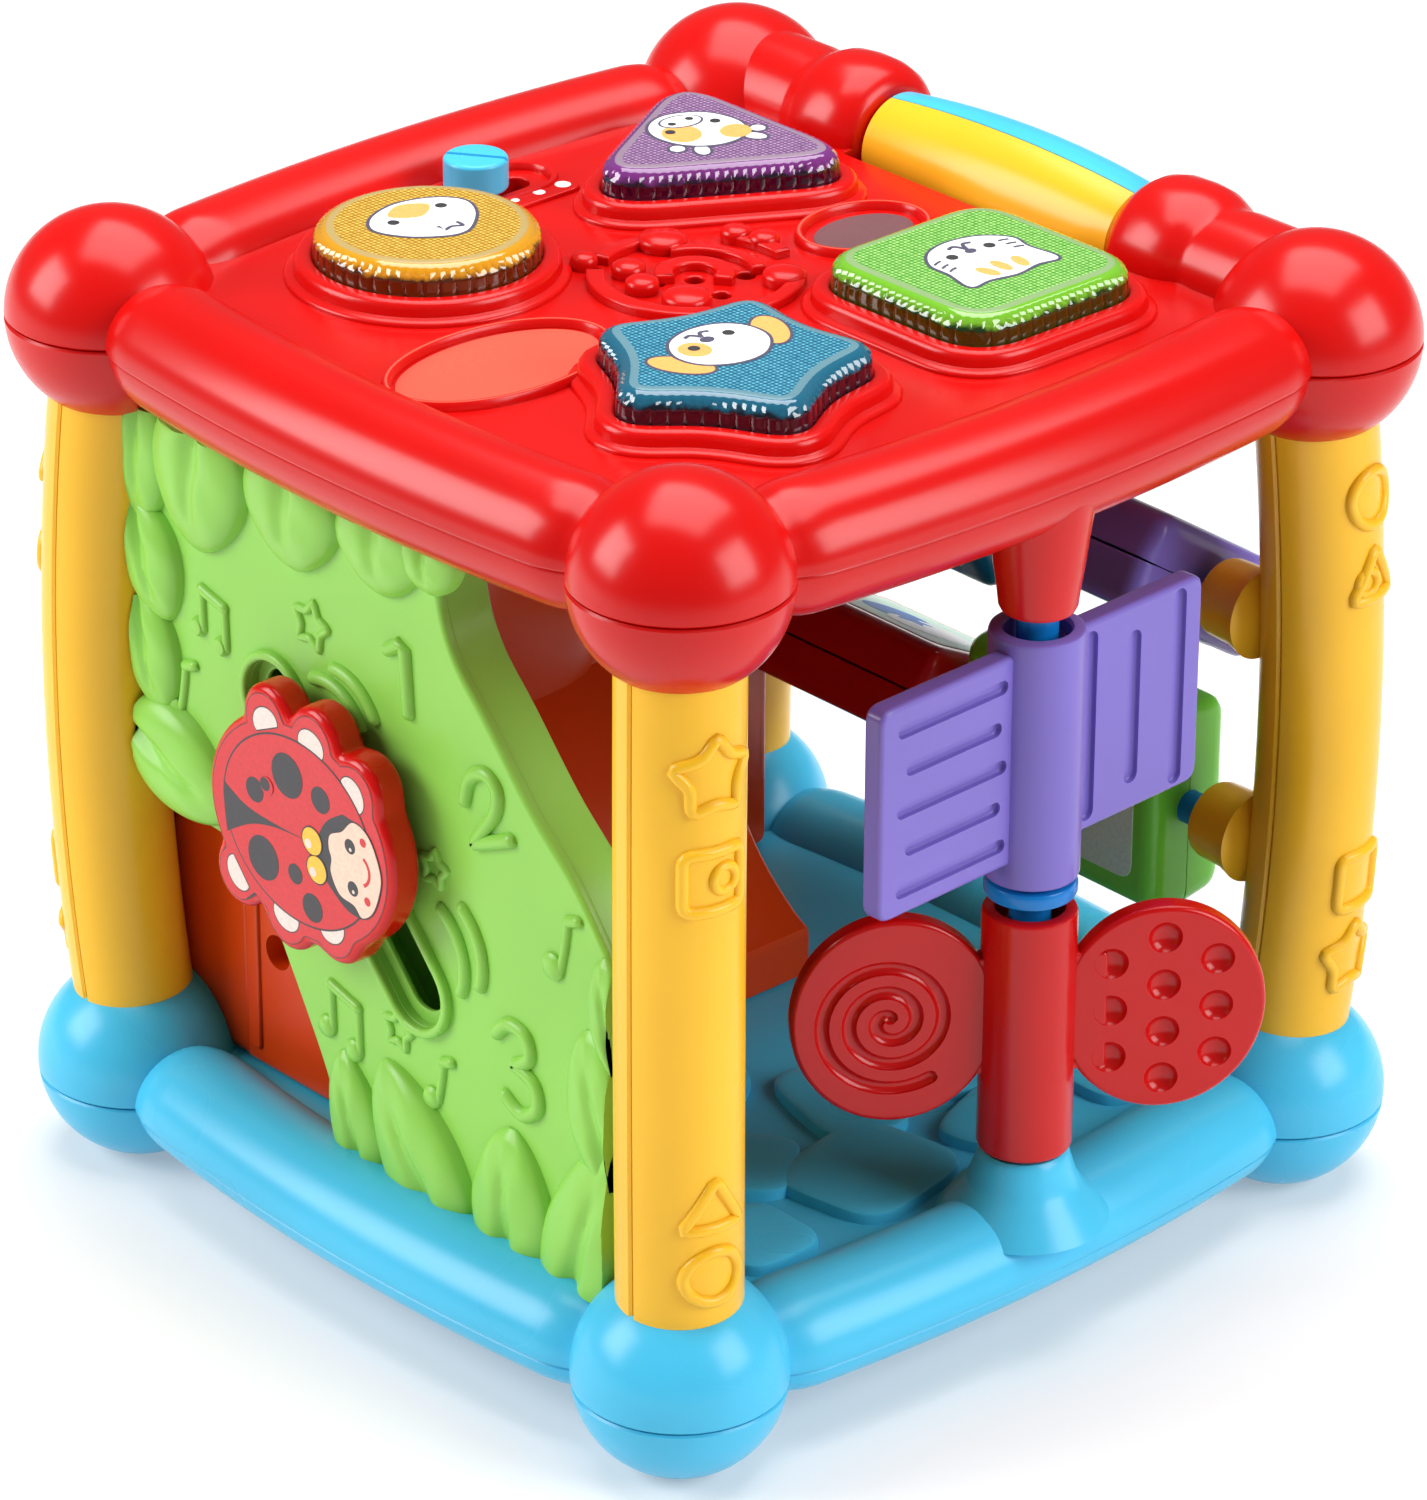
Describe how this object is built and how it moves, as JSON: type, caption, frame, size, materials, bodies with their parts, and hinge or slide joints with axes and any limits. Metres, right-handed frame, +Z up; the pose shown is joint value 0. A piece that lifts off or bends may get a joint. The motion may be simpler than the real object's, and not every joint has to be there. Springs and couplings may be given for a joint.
{
  "type": "baby activity cube",
  "caption": "Open-framed baby activity cube with push buttons on its lid and a spinner, slider, roller, tumbling blocks or gears on every side.",
  "frame": {"origin": "centre of the footprint, at the level the base's feet stand on", "axes": "+Z up out of the lid; -Y out through the green panel with the ladybug slider; +X out through the side with the upright spinner"},
  "size_m": [0.1766, 0.164, 0.1629],
  "materials": {
    "lid_red": "smooth moulded plastic",
    "sky_blue": "smooth moulded plastic",
    "pillar_yellow": "smooth moulded plastic",
    "panel_green": "smooth moulded plastic",
    "ladybug_red": "printed, smooth",
    "amber_clear": "translucent",
    "purple_clear": "translucent",
    "green_clear": "translucent",
    "blue_clear": "translucent",
    "axle_blue": "smooth moulded plastic",
    "spinner_purple": "smooth moulded plastic",
    "spinner_red": "smooth moulded plastic",
    "tumbler_teal": "smooth moulded plastic",
    "tumbler_green": "smooth moulded plastic",
    "gear_orange": "smooth moulded plastic",
    "board_green": "lacquered board",
    "dark_parts": "moulded black plastic",
    "lamp_clear": "cast clear resin",
    "white_plastic": "moulded white plastic",
    "steel": "plated wire and sheet",
    "battery_skin": "printed sleeve"
  },
  "bodies": {
    "frame": {"top_shell": "lid_red", "top_underside": "lid_red", "base_upper_shell": "sky_blue", "base_lower_shell": "sky_blue", "battery_door": "sky_blue", "front_left_pillar_outer": "pillar_yellow", "front_left_pillar_inner": "pillar_yellow", "front_right_pillar_outer": "pillar_yellow", "front_right_pillar_inner": "pillar_yellow", "back_right_pillar_outer": "pillar_yellow", "back_right_pillar_inner": "pillar_yellow", "back_left_pillar_outer": "pillar_yellow", "back_left_pillar_inner": "pillar_yellow", "green_panel": "panel_green", "circle_switch": "dark_parts", "triangle_switch": "dark_parts", "square_switch": "dark_parts", "star_switch": "dark_parts", "speaker": "dark_parts", "circle_led": "lamp_clear", "triangle_led": "lamp_clear", "square_led": "lamp_clear", "star_led": "lamp_clear", "circuit_board": "board_green", "roller_pin": "steel", "battery_door_screw": "steel", "battery_contact_right": "steel", "battery_contact_left": "steel", "upper_gear_pin": "ladybug_red", "middle_gear_pin": "ladybug_red", "lower_gear_pin": "ladybug_red", "twirler_axle": "axle_blue", "upper_tumbler_axle": "axle_blue", "lower_tumbler_axle": "axle_blue", "gear_housing": "gear_orange", "battery_1": "battery_skin", "battery_2": "battery_skin"},
    "circle_cap": {"circle_button": "amber_clear"},
    "triangle_cap": {"triangle_button": "purple_clear"},
    "square_cap": {"square_button": "green_clear"},
    "star_cap": {"star_button": "blue_clear"},
    "volume_slider": {"volume_knob": "sky_blue"},
    "roller": {"roller_front_shell": "pillar_yellow", "roller_back_shell": "sky_blue"},
    "ladybug_slider": {"ladybug": "ladybug_red", "ladybug_retainer": "white_plastic"},
    "purple_spinner": {"purple_twirler": "spinner_purple"},
    "red_spinner": {"red_twirler": "spinner_red"},
    "purple_tumbler": {"purple_tumbler_front": "spinner_purple", "purple_tumbler_back": "spinner_purple"},
    "teal_tumbler": {"teal_tumbler_front": "tumbler_teal", "teal_tumbler_back": "tumbler_teal"},
    "green_tumbler": {"green_tumbler_front": "tumbler_green", "green_tumbler_back": "tumbler_green"},
    "red_tumbler": {"red_tumbler_front": "spinner_red", "red_tumbler_back": "spinner_red"},
    "gear_upper": {"upper_gear": "pillar_yellow"},
    "gear_middle": {"middle_gear": "sky_blue"},
    "gear_lower": {"lower_gear": "panel_green"}
  },
  "joints": [
    {"name": "circle_press", "type": "slide", "parent": "frame", "child": "circle_cap", "axis": [0, 0, -1], "range_m": [0, 0.0018], "stiffness_N_per_m": 400, "springref_m": -0.002},
    {"name": "triangle_press", "type": "slide", "parent": "frame", "child": "triangle_cap", "axis": [0, 0, -1], "range_m": [0, 0.0018], "stiffness_N_per_m": 400, "springref_m": -0.002},
    {"name": "square_press", "type": "slide", "parent": "frame", "child": "square_cap", "axis": [0, 0, -1], "range_m": [0, 0.0018], "stiffness_N_per_m": 400, "springref_m": -0.002},
    {"name": "star_press", "type": "slide", "parent": "frame", "child": "star_cap", "axis": [0, 0, -1], "range_m": [0, 0.0018], "stiffness_N_per_m": 400, "springref_m": -0.002},
    {"name": "volume_slide", "type": "slide", "parent": "frame", "child": "volume_slider", "axis": [0, 1, 0], "range_m": [0, 0.008]},
    {"name": "roller_spin", "type": "hinge", "parent": "frame", "child": "roller", "pos_m": [0, 0.066, 0.1505], "axis": [1, 0, 0], "continuous": true},
    {"name": "ladybug_slide", "type": "slide", "parent": "frame", "child": "ladybug_slider", "axis": [0.6626, 0, -0.749], "range_m": [-0.0115, 0.021]},
    {"name": "purple_spin", "type": "hinge", "parent": "frame", "child": "purple_spinner", "pos_m": [0.072, 0, 0.08], "axis": [0, 0, 1], "continuous": true},
    {"name": "red_spin", "type": "hinge", "parent": "frame", "child": "red_spinner", "pos_m": [0.072, 0, 0.08], "axis": [0, 0, 1], "continuous": true},
    {"name": "purple_tumble", "type": "hinge", "parent": "frame", "child": "purple_tumbler", "pos_m": [0, 0.0635, 0.0976], "axis": [1, 0, 0], "continuous": true},
    {"name": "teal_tumble", "type": "hinge", "parent": "frame", "child": "teal_tumbler", "pos_m": [0, 0.0635, 0.0976], "axis": [1, 0, 0], "continuous": true},
    {"name": "green_tumble", "type": "hinge", "parent": "frame", "child": "green_tumbler", "pos_m": [0, 0.0635, 0.0582], "axis": [1, 0, 0], "continuous": true},
    {"name": "red_tumble", "type": "hinge", "parent": "frame", "child": "red_tumbler", "pos_m": [0, 0.0635, 0.0582], "axis": [1, 0, 0], "continuous": true},
    {"name": "middle_gear_spin", "type": "hinge", "parent": "frame", "child": "gear_middle", "pos_m": [-0.07, 0.0015, 0.076], "axis": [1, 0, 0], "continuous": true},
    {"name": "upper_gear_spin", "type": "hinge", "parent": "frame", "child": "gear_upper", "pos_m": [-0.07, -0.0183, 0.1061], "axis": [1, 0, 0], "continuous": true},
    {"name": "lower_gear_spin", "type": "hinge", "parent": "frame", "child": "gear_lower", "pos_m": [-0.07, 0.021, 0.0457], "axis": [1, 0, 0], "continuous": true}
  ],
  "couplings": [
    {"joint": "upper_gear_spin", "follows": "middle_gear_spin", "ratio": -1.25},
    {"joint": "lower_gear_spin", "follows": "middle_gear_spin", "ratio": -1.25}
  ]
}
